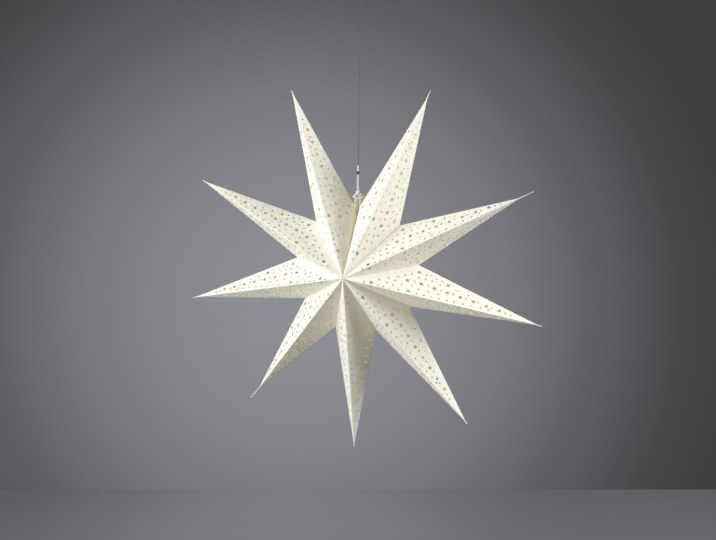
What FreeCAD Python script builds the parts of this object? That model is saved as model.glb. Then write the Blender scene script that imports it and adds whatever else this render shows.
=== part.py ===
# A hanging paper star with nine points, folded from pierced white card.
# Each point is one folded card: a four-sided pyramid, open towards the middle of the star, with
# glue flaps along its open edges. Neighbouring points meet flap to flap. The star opens flat along
# one seam at the top, where a white string ties two tabs together and hangs from a thin thread.
# Frame: Z up, the front of the star faces -Y, and the origin is in the loop at the thread's top.
import FreeCAD, Part
import math
import os
from FreeCAD import Vector

# The star, in millimetres and degrees
POINT_COUNT = 9
TIP_RADIUS = 375.0
VALLEY_RADIUS = 127.0
HALF_DEPTH = 93.0
FAN_ANGLE = 353.8
DROOP_ANGLE = 1.6
SEAM_LEAN = 1.8
SEAM_OPENING = 9.4

# The card of each point, and the length of its tip that is pressed flat into a needle
CARD = 0.35
CUT_DEPTH = 0.7
FLAP_DEPTH = 9.0
SEAM_FLAP_DEPTH = 21.0
AXIS_CLEARANCE = 10.0
CORE_REACH = 1.5
PRESSED_LENGTHS = [13.0, 26.0, 7.0, 3.0, 3.0, 28.0, 6.0, 3.0, 3.0]
NEEDLE_WIDTH = 2.2
NEEDLE_END_WIDTH = 1.0
NEEDLE_OVERLAP = 7.0

# The large holes: how far out along the ridge from the peak, and how far across from the ridge
HOLE_RADIUS = 3.8
HOLE_SIDES = 5
ROW_HOLES = 7
ROW_START = (148.4, 31.8)
ROW_END = (302.6, 12.5)
SINGLE_HOLES = [(54.0, 7.0), (125.5, 7.8), (121.0, 32.2), (140.5, 58.7), (200.0, 43.4)]

# The two tie tabs at the seam
TAB_HEIGHT = 19.0
TAB_FRONT = 4.0
TAB_BASE_BACK = 16.0
TAB_TOP_BACK = 34.0
TIE_HOLE_RADIUS = 2.0
TIE_HOLE_HEIGHT = 15.0

# The string and the thread
STRING_DIAMETER = 1.8
STRAND_GAP = 0.1
THREAD_DIAMETER = 1.0
SEAT_GAP = 0.2
BEND_SHARE = 0.45
HANG_DROP = 545.0
HANG_LOOP_RADIUS = 6.0
TIE_SIDE = 9.0
TIE_RISE = 6.0
TIE_KNOT_RADIUS = 3.6
TIE_KNOT_HEIGHT = 7.0
TIE_KNOT_RISE = 10.5
STRING_END_RISE = 2.5
STRING_LOOP_HEIGHT = 53.0
STRING_LOOP_RADIUS = 1.6
THREAD_KNOT_RADIUS = 3.4
THREAD_KNOT_HEIGHT = 7.0
THREAD_KNOT_DROP = 15.0
LOOP_KNOT_RADIUS = 1.4
LOOP_KNOT_HEIGHT = 4.0

STAR_CENTRE = Vector(0, 0, -HANG_DROP)
PITCH = FAN_ANGLE / POINT_COUNT
SEAM_ANGLE = math.degrees(math.asin(SEAM_OPENING / 2 / VALLEY_RADIUS))


def from_centre(radius, angle, forward=0.0):
    # Angles run clockwise from straight up, as the front of the star is seen
    turn = math.radians(angle)
    return STAR_CENTRE + Vector(radius * math.sin(turn), -forward, radius * math.cos(turn))


def valley_angle(index):
    if index == 0:
        return SEAM_ANGLE
    if index == POINT_COUNT:
        return 360.0 - SEAM_ANGLE
    return (360.0 - FAN_ANGLE) / 2 + PITCH * index


def tip_angle(index):
    # Points hang a little lower than an even fan, and the two at the seam lean towards it
    angle = (360.0 - FAN_ANGLE) / 2 + PITCH * (index + 0.5)
    angle += DROOP_ANGLE * math.sin(math.radians(angle))
    if index == 0:
        angle -= SEAM_LEAN
    if index == POINT_COUNT - 1:
        angle += SEAM_LEAN
    return angle


def flat_face(corners):
    return Part.Face(Part.makePolygon(list(corners) + [corners[0]]))


def solid_of(faces):
    solid = Part.makeSolid(Part.makeShell(faces))
    if solid.Volume < 0:
        solid.reverse()
    return solid


def pyramid(apex, rim, reach=1.0):
    # rim is front, valley, back, valley, and the open end is two planes that meet front to back
    front, one_side, back, other_side = [apex + (corner - apex) * reach for corner in rim]
    faces = [
        flat_face([apex, front, one_side]),
        flat_face([apex, one_side, back]),
        flat_face([apex, back, other_side]),
        flat_face([apex, other_side, front]),
        flat_face([front, one_side, back]),
        flat_face([front, other_side, back]),
    ]
    return solid_of(faces)


def prism(corners, along):
    return flat_face(corners).extrude(along)


def facet_normal(apex, rim_a, rim_b, inside):
    normal = (rim_a - apex).cross(rim_b - apex).normalize()
    if normal.dot(inside - apex) > 0:
        normal = normal * -1
    return normal


def inward_shift(apex, rim, thickness):
    # Moving the pyramid this way moves each of its four walls inwards by the thickness
    middle = (rim[1] + rim[3]) * 0.5
    one = facet_normal(apex, rim[0], rim[1], middle)
    two = facet_normal(apex, rim[0], rim[3], middle)
    scale = one.x * two.z - one.z * two.x
    shift_x = -thickness * (two.z - one.z) / scale
    shift_z = -thickness * (one.x - two.x) / scale
    return Vector(shift_x, 0, shift_z)


def hole_places():
    places = list(SINGLE_HOLES)
    for step in range(ROW_HOLES):
        share = step / (ROW_HOLES - 1)
        along = ROW_START[0] + (ROW_END[0] - ROW_START[0]) * share
        across = ROW_START[1] + (ROW_END[1] - ROW_START[1]) * share
        places.append((along, across))
    return places


def hole_cutters(apex, peak, valley, inside):
    # One cutter for each large hole of the wall between a ridge and a side edge
    outward = facet_normal(apex, peak, valley, inside)
    ridge = (apex - peak).normalize()
    side = valley - peak
    sideways = (side - ridge * side.dot(ridge)).normalize()
    cutters = []
    for along, across in hole_places():
        middle = peak + ridge * along + sideways * across - outward * CUT_DEPTH
        corners = []
        for step in range(HOLE_SIDES):
            turn = 2 * math.pi * step / HOLE_SIDES
            corner = ridge * math.cos(turn) + sideways * math.sin(turn)
            corners.append(middle + corner * HOLE_RADIUS)
        cutters.append(prism(corners, outward * (2 * CUT_DEPTH)))
    return cutters


def needle(angle, pressed_length):
    # The pressed end of the fold, from inside the point of the pyramid to the end of the tip
    depth = Vector(0, 1, 0)
    across = depth.cross((from_centre(TIP_RADIUS, angle) - STAR_CENTRE).normalize())
    start = TIP_RADIUS - pressed_length - NEEDLE_OVERLAP
    sections = []
    for radius, width in ((start, NEEDLE_WIDTH), (TIP_RADIUS, NEEDLE_END_WIDTH)):
        middle = from_centre(radius, angle)
        half = width / 2
        sections.append([middle + across * half, middle + depth * half,
                         middle - across * half, middle - depth * half])
    inner, outer = sections
    faces = [flat_face(inner), flat_face(outer)]
    for index in range(4):
        after = (index + 1) % 4
        faces.append(flat_face([inner[index], inner[after], outer[after]]))
        faces.append(flat_face([inner[index], outer[after], outer[index]]))
    return solid_of(faces)


def tie_tab(angle, inward):
    # A tab that stands up from the seam flap, in the seam's plane, with a hole for the string.
    # Nearly all of it lies behind the string, and it widens upwards.
    low = VALLEY_RADIUS - FLAP_DEPTH
    top = VALLEY_RADIUS + TAB_HEIGHT
    corners = [
        from_centre(low, angle, TAB_FRONT),
        from_centre(top, angle, TAB_FRONT),
        from_centre(top, angle, -TAB_TOP_BACK),
        from_centre(low, angle, -TAB_BASE_BACK),
    ]
    tab = prism(corners, inward * CARD)
    middle = from_centre(VALLEY_RADIUS + TIE_HOLE_HEIGHT, angle) - inward * CARD
    hole = Part.makeCylinder(TIE_HOLE_RADIUS, 3 * CARD, middle, inward)
    return tab.cut(hole)


def card_point(index):
    angle = tip_angle(index)
    pressed_length = PRESSED_LENGTHS[index]
    apex = from_centre(TIP_RADIUS - pressed_length, angle)
    front = from_centre(0, 0, HALF_DEPTH)
    back = from_centre(0, 0, -HALF_DEPTH)
    valleys = [from_centre(VALLEY_RADIUS, valley_angle(index + step)) for step in (0, 1)]
    rim = [front, valleys[0], back, valleys[1]]
    outside = pyramid(apex, rim)

    wall_shift = inward_shift(apex, rim, CARD)
    inside = pyramid(apex, rim, CORE_REACH)
    inside.translate(wall_shift)
    card = outside.cut(inside)

    axis = Part.makeCylinder(AXIS_CLEARANCE, 2 * HALF_DEPTH, front, back - front)
    middle = (valleys[0] + valleys[1]) * 0.5
    for step, valley in enumerate(valleys):
        at_seam = index + step in (0, POINT_COUNT)
        flap_depth = SEAM_FLAP_DEPTH if at_seam else FLAP_DEPTH
        core = pyramid(apex, rim, CORE_REACH)
        core.translate(wall_shift * (flap_depth / CARD))
        inward = facet_normal(STAR_CENTRE, front, valley, middle) * -1
        flap = prism([front, valley, back], inward * CARD)
        card = card.fuse(flap.common(outside).cut(core).cut(axis))
        if at_seam:
            card = card.fuse(tie_tab(valley_angle(index + step), inward))
    card = card.fuse(needle(angle, pressed_length))

    cutters = []
    for peak in (front, back):
        for valley in valleys:
            cutters += hole_cutters(apex, peak, valley, middle)
    return card.cut(Part.makeCompound(cutters)).removeSplitter().Solids[0]


def rounded_route(corners):
    # Straight runs joined by arcs as large as the two runs at each corner allow
    edges = []
    start = corners[0]
    for before, corner, after in zip(corners, corners[1:], corners[2:]):
        arrive = (corner - before).normalize()
        leave = (after - corner).normalize()
        cut_back = BEND_SHARE * min((corner - before).Length, (after - corner).Length)
        turn = arrive.getAngle(leave)
        radius = cut_back / math.tan(turn / 2)
        first = corner - arrive * cut_back
        last = corner + leave * cut_back
        to_middle = (leave - arrive).normalize()
        arc_centre = corner + to_middle * (radius / math.cos(turn / 2))
        halfway = arc_centre - to_middle * radius
        edges.append(Part.LineSegment(start, first).toShape())
        edges.append(Part.Arc(first, halfway, last).toShape())
        print("bend radius", round(radius, 2), "turn", round(math.degrees(turn), 1))
        start = last
    edges.append(Part.LineSegment(start, corners[-1]).toShape())
    return Part.Wire(edges)


def tube(corners, diameter):
    path = rounded_route(corners)
    heading = (corners[1] - corners[0]).normalize()
    ring = Part.Wire(Part.Circle(corners[0], heading, diameter / 2).toShape())
    return path.makePipeShell([ring], True, False)


def string_corners():
    # One length of string: from the tie knot, through both tabs, back through the knot, up to the
    # top of its loop and down to the knot again
    hole_top = VALLEY_RADIUS + TIE_HOLE_HEIGHT + TIE_HOLE_RADIUS
    low = from_centre(hole_top - STRING_DIAMETER / 2 - SEAT_GAP, 0).z
    strand = (STRING_DIAMETER + STRAND_GAP) / 2
    knot = low + TIE_KNOT_RISE
    top = knot + STRING_LOOP_HEIGHT
    return [
        Vector(-strand, 0, knot),
        Vector(-TIE_SIDE, 0, low + TIE_RISE),
        Vector(-TIE_SIDE, 0, low),
        Vector(TIE_SIDE, 0, low),
        Vector(TIE_SIDE, 0, low + TIE_RISE),
        Vector(strand, 0, knot),
        Vector(STRING_LOOP_RADIUS, 0, top),
        Vector(-STRING_LOOP_RADIUS, 0, top),
        Vector(-strand, 0, knot + STRING_END_RISE),
    ]


def upright_knot(middle, radius, height):
    return Part.makeCylinder(radius, height, middle - Vector(0, 0, height / 2))


def string_parts():
    corners = string_corners()
    string = tube(corners, STRING_DIAMETER)
    knot_middle = Vector(0, 0, corners[0].z)
    tie_knot = upright_knot(knot_middle, TIE_KNOT_RADIUS, TIE_KNOT_HEIGHT).cut(string)
    return {"tie_string": string, "tie_knot": tie_knot}


def thread_parts(string):
    string_top = string.BoundBox.ZMax
    beside = STRING_DIAMETER / 2 + THREAD_DIAMETER / 2 + SEAT_GAP
    knot_middle = Vector(0, 0, string_top - THREAD_KNOT_DROP)
    low = knot_middle + Vector(0, beside, THREAD_KNOT_HEIGHT / 2)
    high = Vector(0, 0, -HANG_LOOP_RADIUS - THREAD_DIAMETER / 2 - LOOP_KNOT_HEIGHT)
    length = (high - low).Length
    thread = Part.makeCylinder(THREAD_DIAMETER / 2, length, low, high - low)
    knot = upright_knot(knot_middle, THREAD_KNOT_RADIUS, THREAD_KNOT_HEIGHT).cut(string).cut(thread)
    ring = Part.makeTorus(HANG_LOOP_RADIUS, THREAD_DIAMETER / 2, Vector(0, 0, 0), Vector(0, 1, 0))
    loop_knot_middle = high + Vector(0, 0, LOOP_KNOT_HEIGHT / 2 + THREAD_DIAMETER / 4)
    loop_knot = upright_knot(loop_knot_middle, LOOP_KNOT_RADIUS, LOOP_KNOT_HEIGHT)
    hang_loop = ring.fuse(loop_knot).cut(thread)
    print("thread length", round(length, 1))
    return {"hang_thread": thread, "thread_knot": knot, "hang_loop": hang_loop}


def main():
    os.makedirs("parts", exist_ok=True)
    parts = {}
    for index in range(POINT_COUNT):
        parts["point_%d" % (index + 1)] = card_point(index)
    parts.update(string_parts())
    parts.update(thread_parts(parts["tie_string"]))
    for name, shape in parts.items():
        shape.exportStep("parts/%s.step" % name)
        print(name, shape.isValid(), len(shape.Solids), "volume", round(shape.Volume, 1))


main()
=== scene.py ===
# A hanging paper star: nine folded points of pierced white card, a cotton string and a thin thread.
import math

import bmesh
import bpy
from mathutils import Matrix, Vector, noise
from mathutils.geometry import delaunay_2d_cdt


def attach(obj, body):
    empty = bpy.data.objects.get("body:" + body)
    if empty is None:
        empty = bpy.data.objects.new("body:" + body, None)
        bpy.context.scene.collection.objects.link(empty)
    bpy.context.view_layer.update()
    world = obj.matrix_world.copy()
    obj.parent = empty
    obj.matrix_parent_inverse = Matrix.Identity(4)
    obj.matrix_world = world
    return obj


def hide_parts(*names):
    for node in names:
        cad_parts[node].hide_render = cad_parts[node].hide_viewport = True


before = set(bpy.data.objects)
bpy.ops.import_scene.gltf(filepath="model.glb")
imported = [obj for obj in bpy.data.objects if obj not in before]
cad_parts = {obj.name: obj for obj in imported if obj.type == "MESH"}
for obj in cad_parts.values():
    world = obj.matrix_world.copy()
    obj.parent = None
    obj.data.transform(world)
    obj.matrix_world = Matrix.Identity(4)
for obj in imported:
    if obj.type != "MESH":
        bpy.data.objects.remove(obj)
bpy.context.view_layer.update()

# The star, in metres and degrees, as in the part's source
POINT_COUNT = 9
TIP_RADIUS = 0.375
VALLEY_RADIUS = 0.127
HALF_DEPTH = 0.093
FAN_ANGLE = 353.8
DROOP_ANGLE = 1.6
SEAM_LEAN = 1.8
SEAM_OPENING = 0.0094
CARD = 0.00035
PRESSED_LENGTHS = [0.013, 0.026, 0.007, 0.003, 0.003, 0.028, 0.006, 0.003, 0.003]
NEEDLE_WIDTH = 0.0022
NEEDLE_END_WIDTH = 0.0010
NEEDLE_OVERLAP = 0.007
TAB_HEIGHT = 0.019
TAB_FRONT = 0.004
TAB_BASE_BACK = 0.016
TAB_TOP_BACK = 0.034
TIE_HOLE_RADIUS = 0.002
TIE_HOLE_HEIGHT = 0.015
HANG_DROP = 0.545
STAR_CENTRE = Vector((0, 0, -HANG_DROP))
UP = Vector((0, 0, 1))
DEPTH = Vector((0, 1, 0))
SEAM_ANGLE = math.degrees(math.asin(SEAM_OPENING / 2 / VALLEY_RADIUS))

# Sizes of the dressing alone: the flaps' depths along their own plane, the glue line and the tabs' foot
FLAP_DEPTH = 0.013
SEAM_FLAP_DEPTH = 0.030
FLAP_TAPER = 0.7
GLUE_GAP = 0.00005
TAB_FOOT = 0.009

# The pierced pattern of one wall: millimetres out along the ridge from its peak, and across from it
ROW_HOLES = 7
ROW_START = (148.4, 31.8)
ROW_END = (302.6, 12.5)
SINGLE_HOLES = [(54.0, 7.0), (125.5, 7.8), (121.0, 32.2), (140.5, 58.7), (200.0, 43.4)]
RIDGE_DOTS = [
    (41, 4), (67.5, 4), (78, 4), (90, 4.5), (106.5, 5), (142, 5), (156, 6), (171, 6.5), (185, 6.5),
    (200.5, 7), (214.5, 7), (232.5, 7.5), (249, 8), (266, 8.5), (280.5, 8), (287, 13), (314, 9), (324, 7),
]
NEAR_DOTS = [
    (68, 18), (83.5, 16), (96, 13), (111, 20), (130.5, 22), (145, 18), (163.5, 17.5), (182.5, 17),
    (84.5, 28), (97.5, 25.5), (102, 35.5), (115, 43.5), (127.5, 50),
]
ROW_DOTS = [(135, 34), (162.5, 31), (187, 28), (211, 25.5), (236.5, 22), (261, 19)]
FAR_DOTS = [
    (141, 45.5), (155, 45.5), (168, 45), (183.5, 40.5), (220.5, 36), (240, 31),
    (155, 56), (165, 58), (176, 52), (188, 50),
]
MILLIMETRES_PER_METRE = 1000

# The holes' outlines, in metres
STAR_ARMS = 5
STAR_HOLE_RADIUS = 0.0050
STAR_HOLE_WAIST = 0.0028
DOT_SIDES = 10
DOT_RADIUS = 0.0021
TIE_HOLE_SIDES = 16

# The sheets' meshes, and how much a wall bows as a share of its width
WALL_STEPS = (14, 22, 34)
HOLE_MARGIN = 0.0015
GRID_SPACING = 0.012
SHEET_TOLERANCE = 1e-7
TRIANGLES_INSIDE = 1
LEAST_WIDTH = 0.001
CARD_BOW = 0.002
CARD_BOW_CHANGE = 0.008
CARD_BOW_GRAIN = 12
POINT_SEED = 7.3
SIDE_SEED = 3.1
BACK_SEED = 1.7
MERGE_DISTANCE = 1e-5
FOLD_LEAST_ANGLE = 40
FOLD_ROUNDING = 0.0004
CARD_SMOOTH_ANGLE = 35.0
NEEDLE_STEPS = 8
NEEDLE_SIDES = 6
NEEDLE_BEND = 0.04
NEEDLE_TURNS = (2.3, 1.7)

# The string's route as in the part's source and the thread's close to it, in metres
STRING_DIAMETER = 0.0018
STRING_ROUTE = [
    (-0.00095, 0, -0.3916), (-0.009, 0, -0.3961), (-0.009, 0, -0.4021), (0.009, 0, -0.4021),
    (0.009, 0, -0.3961), (0.00095, 0, -0.3916), (0.0016, 0, -0.3386), (-0.0016, 0, -0.3386),
    (-0.00095, 0, -0.3891),
]
THREAD_DIAMETER = 0.001
THREAD_ROUTE = [(0, 0.0017, -0.3492), (0, 0.0011, -0.24), (0, 0.0006, -0.12), (0, 0, -0.0105)]
HANG_LOOP_RADIUS = 0.006

# The string's twist, its knot and the two loops of its bow: reach, drop and forward of each loop
ROUTE_STEPS = 16
CORD_SIDES = 8
STRAND_SIDES = 6
CORD_SMOOTH_ANGLE = 60.0
STRING_STRANDS = 3
STRING_LAY = 0.007
TWIST_SPACING = 0.0006
TIE_KNOT_RISE = 0.001
TIE_KNOT_TURNS = 3
TIE_KNOT_STEPS = 20
TIE_KNOT_PITCH = 0.0021
TIE_KNOT_TILT = 0.25
TIE_KNOT_HALF_WIDTH = 0.0030
TIE_KNOT_HALF_DEPTH = 0.0024
BOW_LOOPS = [(-0.0065, -0.0085, -0.004), (0.0100, -0.0085, -0.005)]
BOW_STEPS = 24
BOW_HALF_WIDTH = 0.0032
BOW_LEAN = 0.8
BOW_THINNING = 0.9

# The thread's windings: steps to a turn, then each one's foot, rise, half width, half depth and steps
STEPS_TO_A_TURN = 15
LOW_WINDING = (THREAD_ROUTE[0][2] - 0.0065, 0.0060, 0.0027, 0.0018, 90)
HIGH_WINDING = (-0.0102, 0.0036, 0.0009, 0.0009, 60)
HANG_LOOP_STEPS = 48

# Looks: colour stops, then scale, detail and roughness of a noise, then strength and height of a relief
CARD_COLOURS = [(0.3, (0.955, 0.96, 0.975)), (0.7, (0.97, 0.975, 0.985))]
CARD_GLOW_COLOURS = [(0.3, (0.96, 0.905, 0.60)), (0.7, (0.98, 0.925, 0.65))]
CARD_TRANSLUCENCE = 0.30
CARD_ROUGHNESS = 0.72
CARD_SPECULAR = 0.3
CARD_CLOUD = (45.0, 4.0, 0.6)
CARD_FIBRE = (1400.0, 3.0, 0.65)
CARD_RELIEF = (0.18, 0.0001)
COTTON_COLOURS = [(0.3, (0.70, 0.68, 0.68)), (0.7, (0.88, 0.86, 0.85))]
COTTON_ROUGHNESS = 0.85
COTTON_FIBRE = (3000.0, 4.0, 0.6)
NYLON_COLOURS = [(0.3, (0.03, 0.03, 0.035)), (0.7, (0.07, 0.07, 0.08))]
NYLON_ROUGHNESS = 0.45
NYLON_FIBRE = (900.0, 4.0, 0.6)
FIBRE_SPECULAR = 0.5
FIBRE_RELIEF = (0.3, 0.0002)

# The camera, fitted to the photograph, with offsets in the photograph's pixels
PHOTO_WIDTH = 716
CAMERA_TURN = 16.2
CAMERA_RISE = 10.5
CAMERA_ROLL = 0.83
CAMERA_DISTANCE = 4.0 * TIP_RADIUS
PIXELS_PER_RADIUS = 188.3
CENTRE_SHIFT = (-1.4, -0.1)
SENSOR_WIDTH = 36.0

# Soft lamps: degrees from the front, degrees up, and watts
LAMPS = [
    ("left_lamp", -30.0, 0.0, 34.0), ("left_high_lamp", -45.0, 25.0, 26.0),
    ("left_top_lamp", -60.0, 50.0, 9.0), ("right_lamp", 90.0, 0.0, 10.0),
    ("right_high_lamp", 90.0, 25.0, 45.0),
]
LAMP_DISTANCE = 2.2
LAMP_SIZE = (1.2, 1.4)
DIFFUSE_BOUNCES = 24
ALL_BOUNCES = 32

# The light from all round, from the front to the back, and the wall that shows, with a pool of light and
# its falloff painted on it
WORLD_COLOURS = [(0.35, (0.01, 0.01, 0.01)), (0.65, (0.25, 0.25, 0.25))]
# Where the pool of light painted on the wall is centred, and how far it reaches
WALL_PAINTED_LIGHT_CENTRE = (-0.344, 0.912, -0.222)
WALL_PAINTED_LIGHT_REACH = 0.15
# The wall's colours: painted light near the pool's centre, fading to painted shade further away
WALL_PAINTED_LIGHT_COLOURS = [
    (0.0, (0.275, 0.272, 0.304)), (0.15, (0.220, 0.217, 0.242)), (0.45, (0.123, 0.120, 0.134)),
    (0.75, (0.066, 0.063, 0.068)), (1.0, (0.050, 0.048, 0.052)),
]

# The floor, turned so that its back edge looks level; the pool of light painted on it lies so far across
# and away
FLOOR_DROP = 0.98
FLOOR_BEHIND = 1.01
FLOOR_BEFORE = 3.0
FLOOR_HALF_WIDTH = 3.0
FLOOR_TURN = 18.0
FLOOR_PAINTED_LIGHT_PLACE = (-0.2, 1.0)
FLOOR_ROUGHNESS = 0.9
FLOOR_SPECULAR = 0.1
# The floor's own grey with painted light: lightest at the painted pool, darker further from it
FLOOR_PAINTED_LIGHT_COLOURS = [
    (0.0, (0.295, 0.295, 0.325)), (0.5, (0.225, 0.225, 0.245)), (0.8, (0.175, 0.177, 0.190)),
    (1.0, (0.165, 0.167, 0.180)),
]


# Small helpers

def from_centre(radius, angle, forward=0.0):
    turn = math.radians(angle)
    return STAR_CENTRE + Vector((radius * math.sin(turn), -forward, radius * math.cos(turn)))


def direction(turn, rise):
    # The way from the star to a place, by its degrees from the front and its degrees up
    turn = math.radians(turn)
    rise = math.radians(rise)
    return Vector((math.sin(turn) * math.cos(rise), -math.cos(turn) * math.cos(rise), math.sin(rise)))


def valley_angle(index):
    if index == 0:
        return SEAM_ANGLE
    if index == POINT_COUNT:
        return 360.0 - SEAM_ANGLE
    return (360.0 - FAN_ANGLE) / 2 + FAN_ANGLE / POINT_COUNT * index


def tip_angle(index):
    angle = (360.0 - FAN_ANGLE) / 2 + FAN_ANGLE / POINT_COUNT * (index + 0.5)
    angle += DROOP_ANGLE * math.sin(math.radians(angle))
    if index == 0:
        angle -= SEAM_LEAN
    if index == POINT_COUNT - 1:
        angle += SEAM_LEAN
    return angle


def new_object(name, data):
    piece = bpy.data.objects.new(name, data)
    bpy.context.scene.collection.objects.link(piece)
    return piece


def ring_points(middle, side, over, radius, count):
    points = []
    for step in range(count):
        turn = 2 * math.pi * step / count
        points.append(middle + side * (math.cos(turn) * radius) + over * (math.sin(turn) * radius))
    return points


def flat_ring(middle, radii):
    # A closed flat outline with one corner for each radius
    outline = []
    for step, radius in enumerate(radii):
        turn = 2 * math.pi * step / len(radii)
        outline.append(middle + Vector((math.cos(turn), math.sin(turn))) * radius)
    return outline


def frames_along(path, closed=False):
    # Each point with two directions across the line, which don't twist from one to the next
    count = len(path)
    frames = []
    over = None
    for index, point in enumerate(path):
        if closed:
            heading = path[(index + 1) % count] - path[index - 1]
        else:
            heading = path[min(index + 1, count - 1)] - path[max(index - 1, 0)]
        heading.normalize()
        if over is None:
            over = heading.orthogonal().normalized()
        over = (over - heading * over.dot(heading)).normalized()
        frames.append((point, over, heading.cross(over)))
    return frames


def add_tube(bm, path, radii, sides, closed=False):
    # A tube of changing radius along a list of points
    rings = []
    for (point, over, side), radius in zip(frames_along(path, closed), radii):
        ring = ring_points(point, over, side, radius, sides)
        rings.append([bm.verts.new(corner) for corner in ring])
    pairs = list(zip(rings, rings[1:]))
    if closed:
        pairs.append((rings[-1], rings[0]))
    for before, after in pairs:
        for step in range(sides):
            nearby = (step + 1) % sides
            bm.faces.new((before[step], before[nearby], after[nearby], after[step]))
    if not closed:
        bm.faces.new(reversed(rings[0]))
        bm.faces.new(rings[-1])


def mesh_from(bm, name, material, smooth_angle):
    bmesh.ops.recalc_face_normals(bm, faces=bm.faces[:])
    mesh = bpy.data.meshes.new(name)
    bm.to_mesh(mesh)
    bm.free()
    for face in mesh.polygons:
        face.use_smooth = True
    mesh.set_sharp_from_angle(angle=math.radians(smooth_angle))
    mesh.materials.append(material)
    return mesh


# Materials

def node_material(name):
    material = bpy.data.materials.new(name)
    material.use_nodes = True
    nodes = material.node_tree.nodes
    nodes.clear()
    return material, nodes, material.node_tree.links


def noise_texture(nodes, links, grain):
    place = nodes.new("ShaderNodeTexCoord").outputs["Object"]
    texture = nodes.new("ShaderNodeTexNoise")
    for socket, value in zip(("Scale", "Detail", "Roughness"), grain):
        texture.inputs[socket].default_value = value
    links.new(place, texture.inputs["Vector"])
    return texture.outputs["Fac"]


def colour_ramp(nodes, links, value, stops):
    ramp = nodes.new("ShaderNodeValToRGB")
    while len(ramp.color_ramp.elements) < len(stops):
        ramp.color_ramp.elements.new(0.5)
    for element, (position, colour) in zip(ramp.color_ramp.elements, stops):
        element.position = position
        element.color = (*colour, 1.0)
    links.new(value, ramp.inputs["Fac"])
    return ramp.outputs["Color"]


def add_surface(nodes, links, colour, roughness, specular):
    surface = nodes.new("ShaderNodeBsdfPrincipled")
    surface.inputs["Roughness"].default_value = roughness
    surface.inputs["Specular IOR Level"].default_value = specular
    links.new(colour, surface.inputs["Base Color"])
    return surface


def add_relief(nodes, links, surface, height, relief):
    node = nodes.new("ShaderNodeBump")
    node.inputs["Strength"].default_value, node.inputs["Distance"].default_value = relief
    links.new(height, node.inputs["Height"])
    links.new(node.outputs["Normal"], surface.inputs["Normal"])


def add_output(nodes, links, shader):
    output = nodes.new("ShaderNodeOutputMaterial")
    links.new(shader, output.inputs["Surface"])


def card_material():
    # White uncoated card: fine fibre, a faint cloudiness, and warm light coming through it
    material, nodes, links = node_material("card")
    cloud = noise_texture(nodes, links, CARD_CLOUD)
    fibre = noise_texture(nodes, links, CARD_FIBRE)
    front = colour_ramp(nodes, links, cloud, CARD_COLOURS)
    surface = add_surface(nodes, links, front, CARD_ROUGHNESS, CARD_SPECULAR)
    add_relief(nodes, links, surface, fibre, CARD_RELIEF)
    through = nodes.new("ShaderNodeBsdfTranslucent")
    glow = colour_ramp(nodes, links, cloud, CARD_GLOW_COLOURS)
    links.new(glow, through.inputs["Color"])
    mix = nodes.new("ShaderNodeMixShader")
    mix.inputs["Fac"].default_value = CARD_TRANSLUCENCE
    links.new(surface.outputs["BSDF"], mix.inputs[1])
    links.new(through.outputs["BSDF"], mix.inputs[2])
    add_output(nodes, links, mix.outputs["Shader"])
    return material


def fibre_material(name, colours, roughness, grain):
    # Cotton or nylon: two tones along fine fibres, with a little relief
    material, nodes, links = node_material(name)
    fibre = noise_texture(nodes, links, grain)
    colour = colour_ramp(nodes, links, fibre, colours)
    surface = add_surface(nodes, links, colour, roughness, FIBRE_SPECULAR)
    add_relief(nodes, links, surface, fibre, FIBRE_RELIEF)
    add_output(nodes, links, surface.outputs["BSDF"])
    return material


def floor_painted_light_material(middle):
    # Grey paint with painted light on it: lightest where the wall's glow meets the floor, and darker away
    # from there
    material, nodes, links = node_material("floor_grey_painted_light")
    place = nodes.new("ShaderNodeTexCoord").outputs["Object"]
    distance = nodes.new("ShaderNodeVectorMath")
    distance.operation = "DISTANCE"
    links.new(place, distance.inputs[0])
    distance.inputs[1].default_value = middle
    colour = colour_ramp(nodes, links, distance.outputs["Value"], FLOOR_PAINTED_LIGHT_COLOURS)
    surface = add_surface(nodes, links, colour, FLOOR_ROUGHNESS, FLOOR_SPECULAR)
    add_output(nodes, links, surface.outputs["BSDF"])
    return material


# The folded card points

def wall_shape(peak, valley, fold_end):
    # The wall's flat frame: its ridge, the way sideways, and where its side corner lies
    ridge = fold_end - peak
    length = ridge.length
    ridge.normalize()
    side = valley - peak
    corner_along = side.dot(ridge)
    sideways = side - ridge * corner_along
    return ridge, sideways.normalized(), length, corner_along, sideways.length


def width_at(along, length, corner_along, corner_across):
    if along < corner_along:
        return corner_across * along / corner_along
    return corner_across * (length - along) / (length - corner_along)


def hole_outlines():
    # Each hole as its middle, its reach and its outline, in the wall's flat frame
    large = list(SINGLE_HOLES)
    for step in range(ROW_HOLES):
        share = step / (ROW_HOLES - 1)
        along = ROW_START[0] + (ROW_END[0] - ROW_START[0]) * share
        across = ROW_START[1] + (ROW_END[1] - ROW_START[1]) * share
        large.append((along, across))
    small = RIDGE_DOTS + NEAR_DOTS + ROW_DOTS + FAR_DOTS
    star_radii = [STAR_HOLE_RADIUS, STAR_HOLE_WAIST] * STAR_ARMS
    dot_radii = [DOT_RADIUS] * DOT_SIDES
    holes = []
    for places, radii in ((large, star_radii), (small, dot_radii)):
        for place in places:
            middle = Vector(place) / MILLIMETRES_PER_METRE
            holes.append((middle, radii[0], flat_ring(middle, radii)))
    return holes


def inside_outline(point, outline):
    inside = False
    before = outline[-1]
    for corner in outline:
        if (corner.y > point.y) != (before.y > point.y):
            crossing = (before.x - corner.x) * (point.y - corner.y) / (before.y - corner.y) + corner.x
            if point.x < crossing:
                inside = not inside
        before = corner
    return inside


def in_a_hole(point, holes):
    for middle, reach, hole in holes:
        if (point - middle).length < reach and inside_outline(point, hole):
            return True
    return False


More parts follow.
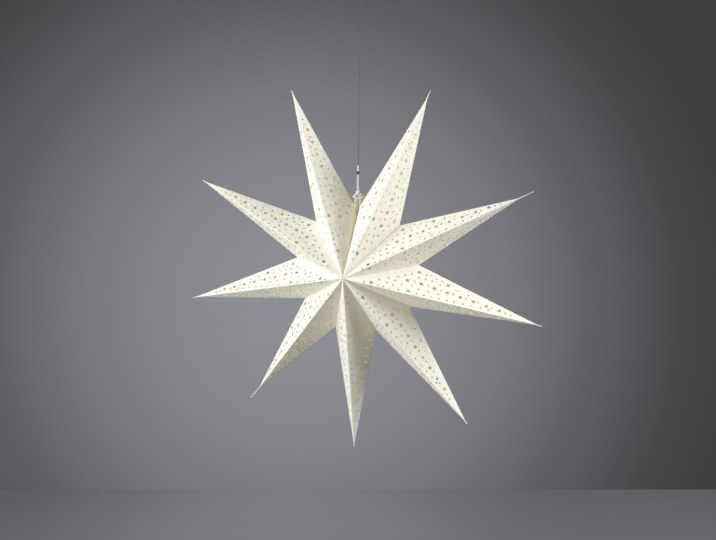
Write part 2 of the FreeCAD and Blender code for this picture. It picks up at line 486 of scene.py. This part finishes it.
def sheet_faces(outline, holes, inner_points):
    # A flat sheet with holes, as points and faces
    flat = list(outline)
    edges = [(index, (index + 1) % len(flat)) for index in range(len(flat))]
    for middle, reach, hole in holes:
        first = len(flat)
        flat += hole
        edges += [(first + step, first + (step + 1) % len(hole)) for step in range(len(hole))]
    flat += inner_points
    sheet = delaunay_2d_cdt(flat, edges, [], TRIANGLES_INSIDE, SHEET_TOLERANCE)
    points, faces = sheet[0], sheet[2]
    kept = []
    for face in faces:
        middle = sum((points[index] for index in face), Vector((0, 0))) / len(face)
        if not in_a_hole(middle, holes):
            kept.append(face)
    return points, kept


def add_wall(bm, peak, valley, fold_end, seed):
    # One pierced wall of a point, cut as a flat sheet and then bowed very slightly
    ridge, sideways, length, corner_along, corner_across = wall_shape(peak, valley, fold_end)
    outward = ridge.cross(sideways).normalized()
    if outward.dot(peak - STAR_CENTRE) < 0:
        outward = -outward
    corners = [Vector((0, 0)), Vector((corner_along, corner_across)), Vector((length, 0))]
    outline = []
    for index, count in enumerate(WALL_STEPS):
        start, end = corners[index], corners[(index + 1) % 3]
        outline += [start.lerp(end, step / count) for step in range(count)]
    holes = []
    for middle, reach, hole in hole_outlines():
        if middle.y + reach + HOLE_MARGIN < width_at(middle.x, length, corner_along, corner_across):
            holes.append((middle, reach, hole))
    inner_points = []
    for row in range(1, int(corner_across / GRID_SPACING) + 1):
        for column in range(1, int(length / GRID_SPACING)):
            point = Vector((column + (row % 2) / 2, row - 1 / 3)) * GRID_SPACING
            width = width_at(point.x, length, corner_along, corner_across)
            if point.x > length or point.y > width - GRID_SPACING / 4:
                continue
            if all((point - middle).length > reach + HOLE_MARGIN for middle, reach, hole in holes):
                inner_points.append(point)
    points, faces = sheet_faces(outline, holes, inner_points)
    verts = []
    for point in points:
        width = max(width_at(point.x, length, corner_along, corner_across), LEAST_WIDTH)
        share = min(max(point.y / width, 0.0), 1.0)
        cloud = noise.noise(Vector((point.x * CARD_BOW_GRAIN, point.y * CARD_BOW_GRAIN, seed)))
        bow = 4 * share * (1 - share) * width * (CARD_BOW + CARD_BOW_CHANGE * cloud)
        verts.append(bm.verts.new(peak + ridge * point.x + sideways * point.y + outward * bow))
    for face in faces:
        bm.faces.new([verts[index] for index in face])


def add_flap(bm, peak, valley, other_peak, flap_depth):
    # The glue flap along an open edge, folded into the plane where two points meet
    edge = valley - peak
    length = edge.length
    edge.normalize()
    into = other_peak - peak
    into = (into - edge * into.dot(edge)).normalized()
    steps = WALL_STEPS[0]
    outer = []
    inner = []
    for step in range(steps + 1):
        along = length * step / steps
        depth = min(along * FLAP_TAPER, flap_depth, (length - along) * FLAP_TAPER)
        point = peak + edge * along
        outer.append(bm.verts.new(point))
        inner.append(bm.verts.new(point + into * depth) if depth > 0 else outer[-1])
    for index in range(steps):
        corners = [outer[index], outer[index + 1]]
        corners += [vert for vert in (inner[index + 1], inner[index]) if vert not in corners]
        bm.faces.new(corners)


def add_tie_tab(bm, angle):
    # The tab that stands up from the seam flap, with the hole that the string passes through
    low, top = VALLEY_RADIUS - TAB_FOOT, VALLEY_RADIUS + TAB_HEIGHT
    outline = [
        Vector((TAB_FRONT, low)), Vector((TAB_FRONT, top)),
        Vector((-TAB_TOP_BACK, top)), Vector((-TAB_BASE_BACK, low)),
    ]
    middle = Vector((0, VALLEY_RADIUS + TIE_HOLE_HEIGHT))
    hole = flat_ring(middle, [TIE_HOLE_RADIUS] * TIE_HOLE_SIDES)
    points, faces = sheet_faces(outline, [(middle, TIE_HOLE_RADIUS, hole)], [])
    verts = [bm.verts.new(from_centre(point.y, angle, point.x)) for point in points]
    for face in faces:
        bm.faces.new([verts[index] for index in face])


def thickened(bm, name):
    # The same sheet with its card thickness, which is added on the inner side
    mesh = bpy.data.meshes.new(name)
    bm.to_mesh(mesh)
    bm.free()
    piece = new_object(name, mesh)
    solid = piece.modifiers.new("card", "SOLIDIFY")
    solid.thickness = CARD
    solid.offset = -1.0
    solid.use_even_offset = True
    solid.use_rim = True
    solid.thickness_clamp = 2.0
    bpy.context.view_layer.update()
    evaluated = piece.evaluated_get(bpy.context.evaluated_depsgraph_get())
    thick = bpy.data.meshes.new_from_object(evaluated)
    bpy.data.objects.remove(piece)
    bpy.data.meshes.remove(mesh)
    bm = bmesh.new()
    bm.from_mesh(thick)
    bpy.data.meshes.remove(thick)
    return bm


def add_needle(bm, angle, pressed_length, seed):
    # The four folds pressed together at the end of a point, bent a little by handling
    path = []
    radii = []
    start = TIP_RADIUS - pressed_length - NEEDLE_OVERLAP
    across = DEPTH.cross((from_centre(1.0, angle) - STAR_CENTRE).normalized())
    for step in range(NEEDLE_STEPS + 1):
        share = step / NEEDLE_STEPS
        bend = NEEDLE_BEND * pressed_length * share * share
        sway = across * (bend * math.sin(seed * NEEDLE_TURNS[0]))
        sway += DEPTH * (bend * math.cos(seed * NEEDLE_TURNS[1]))
        path.append(from_centre(start + (TIP_RADIUS - start) * share, angle) + sway)
        radii.append((NEEDLE_WIDTH * (1 - share) + NEEDLE_END_WIDTH * share) / 2)
    add_tube(bm, path, radii, NEEDLE_SIDES)


def card_point(index, material):
    name = "point_%d" % (index + 1)
    angle = tip_angle(index)
    pressed_length = PRESSED_LENGTHS[index]
    fold_end = from_centre(TIP_RADIUS - pressed_length, angle)
    inward = (fold_end - STAR_CENTRE).normalized() * GLUE_GAP
    front = from_centre(0, 0, HALF_DEPTH) + inward
    back = from_centre(0, 0, -HALF_DEPTH) + inward
    valleys = [from_centre(VALLEY_RADIUS, valley_angle(index + step)) + inward for step in (0, 1)]
    bm = bmesh.new()
    for peak, other in ((front, back), (back, front)):
        for side, valley in enumerate(valleys):
            seed = index * POINT_SEED + side * SIDE_SEED + (0 if peak is front else BACK_SEED)
            add_wall(bm, peak, valley, fold_end, seed)
            at_seam = index + side in (0, POINT_COUNT)
            add_flap(bm, peak, valley, other, SEAM_FLAP_DEPTH if at_seam else FLAP_DEPTH)
    bmesh.ops.remove_doubles(bm, verts=bm.verts[:], dist=MERGE_DISTANCE)
    bmesh.ops.recalc_face_normals(bm, faces=bm.faces[:])
    outside = sum((face.normal.dot(face.calc_center_median() - STAR_CENTRE) for face in bm.faces))
    if outside < 0:
        bmesh.ops.reverse_faces(bm, faces=bm.faces[:])
    folds = []
    for edge in bm.edges:
        if len(edge.link_faces) == 2 and edge.calc_face_angle() > math.radians(FOLD_LEAST_ANGLE):
            folds.append(edge)
    bmesh.ops.bevel(bm, geom=folds, offset=FOLD_ROUNDING, offset_type="OFFSET", segments=3, profile=0.5,
                    affect="EDGES", clamp_overlap=True)
    bm = thickened(bm, name)
    add_needle(bm, angle, pressed_length, index + 1)
    piece = new_object(name + "_card", mesh_from(bm, name + "_card", material, CARD_SMOOTH_ANGLE))
    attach(piece, "root")
    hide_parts(name)


def tie_tabs(material):
    for name, index, inward in (("point_1", 0, 1), ("point_9", POINT_COUNT, -1)):
        bm = bmesh.new()
        add_tie_tab(bm, valley_angle(index))
        bmesh.ops.recalc_face_normals(bm, faces=bm.faces[:])
        bm.faces.ensure_lookup_table()
        if bm.faces[0].normal.x * inward > 0:
            bmesh.ops.reverse_faces(bm, faces=bm.faces[:])
        bm = thickened(bm, name)
        mesh = mesh_from(bm, name + "_tie_tab", material, CARD_SMOOTH_ANGLE)
        piece = new_object(name + "_tie_tab", mesh)
        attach(piece, "root")


# The string, the thread and their knots

def route_curve(name, route):
    curve = bpy.data.curves.new(name, "CURVE")
    curve.dimensions = "3D"
    curve.resolution_u = ROUTE_STEPS
    spline = curve.splines.new("NURBS")
    spline.points.add(len(route) - 1)
    for point, place in zip(spline.points, route):
        point.co = (*place, 1.0)
    spline.order_u = 3
    spline.use_endpoint_u = True
    return curve


def route_points(curve):
    line = new_object("route_line", curve)
    bpy.context.view_layer.update()
    mesh = bpy.data.meshes.new_from_object(line.evaluated_get(bpy.context.evaluated_depsgraph_get()))
    points = [vertex.co.copy() for vertex in mesh.vertices]
    bpy.data.meshes.remove(mesh)
    bpy.data.objects.remove(line)
    return points


def even_points(points, spacing):
    # The same line with points an even distance apart
    lengths = [0.0]
    for before, after in zip(points, points[1:]):
        lengths.append(lengths[-1] + (after - before).length)
    count = max(2, int(lengths[-1] / spacing))
    even = []
    index = 0
    for step in range(count + 1):
        reach = lengths[-1] * step / count
        while index < len(lengths) - 2 and lengths[index + 1] < reach:
            index += 1
        span = lengths[index + 1] - lengths[index]
        share = (reach - lengths[index]) / span if span > 0 else 0.0
        even.append(points[index].lerp(points[index + 1], share))
    return even


def add_twisted(bm, points, radius):
    # Strands of half the string's radius, twisted round a line
    frames = frames_along(even_points(points, TWIST_SPACING))
    for strand in range(STRING_STRANDS):
        path = []
        for index, (point, side, across) in enumerate(frames):
            turn = 2 * math.pi * (strand / STRING_STRANDS + index * TWIST_SPACING / STRING_LAY)
            offset = side * math.cos(turn) + across * math.sin(turn)
            path.append(point + offset * (radius * 0.5))
        add_tube(bm, path, [radius * 0.5] * len(path), STRAND_SIDES)


def tie_knot_turn(middle, level):
    # One turn of the knot; the turns above and below the middle one are tilted
    loop = []
    for step in range(TIE_KNOT_STEPS):
        turn = 2 * math.pi * step / TIE_KNOT_STEPS
        x = math.cos(turn) * TIE_KNOT_HALF_WIDTH
        y = math.sin(turn) * TIE_KNOT_HALF_DEPTH
        loop.append(middle + Vector((x, y, level * (TIE_KNOT_PITCH + TIE_KNOT_TILT * x))))
    return loop


def bow_loop(middle, reach, drop, forward):
    loop = []
    for step in range(BOW_STEPS):
        turn = 2 * math.pi * step / BOW_STEPS
        share = (1 - math.cos(turn)) / 2
        width = math.sin(turn) * BOW_HALF_WIDTH
        height = drop * share + width * BOW_LEAN
        loop.append(middle + Vector((reach * share, forward * share + width, height)))
    return loop


def string_pieces(material):
    points = route_points(route_curve("string_route", STRING_ROUTE))
    radius = STRING_DIAMETER / 2
    bm = bmesh.new()
    add_twisted(bm, points, radius)
    mesh = mesh_from(bm, "tie_string_cotton", material, CORD_SMOOTH_ANGLE)
    string = new_object("tie_string_cotton", mesh)
    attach(string, "root")
    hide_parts("tie_string")

    knot_middle = Vector((0, 0, STRING_ROUTE[0][2] + TIE_KNOT_RISE))
    bm = bmesh.new()
    for turn_index in range(TIE_KNOT_TURNS):
        loop = tie_knot_turn(knot_middle, turn_index - TIE_KNOT_TURNS // 2)
        add_tube(bm, loop, [radius] * len(loop), CORD_SIDES, closed=True)
    for reach, drop, forward in BOW_LOOPS:
        loop = bow_loop(knot_middle, reach, drop, forward)
        add_tube(bm, loop, [radius * BOW_THINNING] * len(loop), CORD_SIDES, closed=True)
    knot = new_object("tie_knot_bow", mesh_from(bm, "tie_knot_bow", material, CORD_SMOOTH_ANGLE))
    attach(knot, "root")
    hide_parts("tie_knot")


def add_winding(bm, low, rise, half_width, half_depth, steps):
    # Turns of thread wound upwards round the upright line through the origin
    path = []
    for step in range(steps):
        turn = 2 * math.pi * step / STEPS_TO_A_TURN
        height = low + rise * step / (steps - 1)
        path.append(Vector((math.cos(turn) * half_width, math.sin(turn) * half_depth, height)))
    add_tube(bm, path, [THREAD_DIAMETER / 2] * steps, STRAND_SIDES)


def thread_pieces(material):
    curve = route_curve("hang_thread_nylon", THREAD_ROUTE)
    curve.bevel_depth = THREAD_DIAMETER / 2
    curve.bevel_resolution = 3
    curve.use_fill_caps = True
    curve.materials.append(material)
    thread = new_object("hang_thread_nylon", curve)
    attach(thread, "root")
    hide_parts("hang_thread")

    bm = bmesh.new()
    add_winding(bm, *LOW_WINDING)
    mesh = mesh_from(bm, "thread_knot_turns", material, CORD_SMOOTH_ANGLE)
    knot = new_object("thread_knot_turns", mesh)
    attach(knot, "root")
    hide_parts("thread_knot")

    bm = bmesh.new()
    ring = ring_points(Vector((0, 0, 0)), Vector((1, 0, 0)), UP, HANG_LOOP_RADIUS, HANG_LOOP_STEPS)
    add_tube(bm, ring, [THREAD_DIAMETER / 2] * HANG_LOOP_STEPS, CORD_SIDES, closed=True)
    add_winding(bm, *HIGH_WINDING)
    loop = new_object("hang_loop_nylon", mesh_from(bm, "hang_loop_nylon", material, CORD_SMOOTH_ANGLE))
    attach(loop, "root")
    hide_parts("hang_loop")


# The camera, the light and the floor

def add_camera():
    back = direction(CAMERA_TURN, CAMERA_RISE)
    turn = math.radians(CAMERA_TURN)
    roll = math.radians(CAMERA_ROLL)
    level = Vector((math.cos(turn), math.sin(turn), 0))
    above = back.cross(level)
    right = level * math.cos(roll) + above * math.sin(roll)
    up = above * math.cos(roll) - level * math.sin(roll)
    data = bpy.data.cameras.new("camera")
    data.sensor_fit = "HORIZONTAL"
    data.sensor_width = SENSOR_WIDTH
    focal_pixels = PIXELS_PER_RADIUS * CAMERA_DISTANCE / TIP_RADIUS
    data.lens = focal_pixels / PHOTO_WIDTH * SENSOR_WIDTH
    metres_per_pixel = TIP_RADIUS / PIXELS_PER_RADIUS
    place = STAR_CENTRE + back * CAMERA_DISTANCE
    place -= right * (CENTRE_SHIFT[0] * metres_per_pixel) + up * (CENTRE_SHIFT[1] * metres_per_pixel)
    camera = new_object("camera", data)
    camera.matrix_world = Matrix((
        (right.x, up.x, back.x, place.x),
        (right.y, up.y, back.y, place.y),
        (right.z, up.z, back.z, place.z),
        (0, 0, 0, 1),
    ))
    bpy.context.scene.camera = camera


def add_lamp(name, turn, rise, power):
    # A soft lamp that looks at the star
    towards = direction(turn, rise)
    data = bpy.data.lights.new(name, "AREA")
    data.shape = "RECTANGLE"
    data.size = LAMP_SIZE[0]
    data.size_y = LAMP_SIZE[1]
    data.energy = power
    lamp = new_object(name, data)
    lamp.location = STAR_CENTRE + towards * LAMP_DISTANCE
    lamp.rotation_euler = towards.to_track_quat("Z", "Y").to_euler()


def maths(nodes, links, operation, first, second):
    node = nodes.new("ShaderNodeMath")
    node.operation = operation
    for socket, value in zip(node.inputs, (first, second)):
        if isinstance(value, float):
            socket.default_value = value
        else:
            links.new(value, socket)
    return node.outputs["Value"]


def add_world():
    world = bpy.data.worlds.new("world")
    bpy.context.scene.world = world
    world.use_nodes = True
    nodes = world.node_tree.nodes
    links = world.node_tree.links
    nodes.clear()
    heading = nodes.new("ShaderNodeTexCoord").outputs["Generated"]

    # Soft light from the wall behind the star, and next to none from in front
    sides = nodes.new("ShaderNodeSeparateXYZ")
    links.new(heading, sides.inputs["Vector"])
    half = maths(nodes, links, "MULTIPLY", sides.outputs["Y"], 0.5)
    behind = maths(nodes, links, "ADD", half, 0.5)
    lighting = nodes.new("ShaderNodeBackground")
    links.new(colour_ramp(nodes, links, behind, WORLD_COLOURS), lighting.inputs["Color"])

    # The wall that shows: a painted pool of light, lightest low behind the star, fading to painted shade
    # away from there
    nearness = nodes.new("ShaderNodeVectorMath")
    nearness.operation = "DOT_PRODUCT"
    links.new(heading, nearness.inputs[0])
    nearness.inputs[1].default_value = WALL_PAINTED_LIGHT_CENTRE
    away = maths(nodes, links, "SUBTRACT", 1.0, nearness.outputs["Value"])
    spread = maths(nodes, links, "MULTIPLY", away, 1 / WALL_PAINTED_LIGHT_REACH)
    seen = nodes.new("ShaderNodeBackground")
    links.new(colour_ramp(nodes, links, spread, WALL_PAINTED_LIGHT_COLOURS), seen.inputs["Color"])

    # Gloss and glass show the wall as the camera does, and light through card doesn't
    rays = nodes.new("ShaderNodeLightPath").outputs
    mirrored = maths(nodes, links, "MAXIMUM", rays["Is Glossy Ray"], rays["Is Transmission Ray"])
    clear = maths(nodes, links, "SUBTRACT", mirrored, rays["Is Diffuse Ray"])
    shown = maths(nodes, links, "MAXIMUM", rays["Is Camera Ray"], clear)
    mix = nodes.new("ShaderNodeMixShader")
    links.new(shown, mix.inputs["Fac"])
    links.new(lighting.outputs["Background"], mix.inputs[1])
    links.new(seen.outputs["Background"], mix.inputs[2])
    output = nodes.new("ShaderNodeOutputWorld")
    links.new(mix.outputs["Shader"], output.inputs["Surface"])


def add_floor():
    turn = math.radians(FLOOR_TURN)
    across = Vector((math.cos(turn), math.sin(turn), 0))
    away = Vector((-math.sin(turn), math.cos(turn), 0))
    middle = STAR_CENTRE - UP * FLOOR_DROP
    bm = bmesh.new()
    corners = []
    for side, reach in ((-1, FLOOR_BEHIND), (1, FLOOR_BEHIND), (1, -FLOOR_BEFORE), (-1, -FLOOR_BEFORE)):
        corners.append(bm.verts.new(middle + across * (side * FLOOR_HALF_WIDTH) + away * reach))
    bm.faces.new(corners)
    material = floor_painted_light_material(middle + across * FLOOR_PAINTED_LIGHT_PLACE[0] + away * FLOOR_PAINTED_LIGHT_PLACE[1])
    floor = new_object("floor", mesh_from(bm, "floor", material, CARD_SMOOTH_ANGLE))


card = card_material()
cotton = fibre_material("cotton_string", COTTON_COLOURS, COTTON_ROUGHNESS, COTTON_FIBRE)
nylon = fibre_material("nylon_thread", NYLON_COLOURS, NYLON_ROUGHNESS, NYLON_FIBRE)

for point_index in range(POINT_COUNT):
    card_point(point_index, card)
tie_tabs(card)
string_pieces(cotton)
thread_pieces(nylon)
add_floor()
add_world()
for lamp in LAMPS:
    add_lamp(*lamp)
add_camera()

bpy.context.scene.view_settings.view_transform = "Standard"
bpy.context.scene.cycles.diffuse_bounces = DIFFUSE_BOUNCES
bpy.context.scene.cycles.transmission_bounces = DIFFUSE_BOUNCES
bpy.context.scene.cycles.max_bounces = ALL_BOUNCES
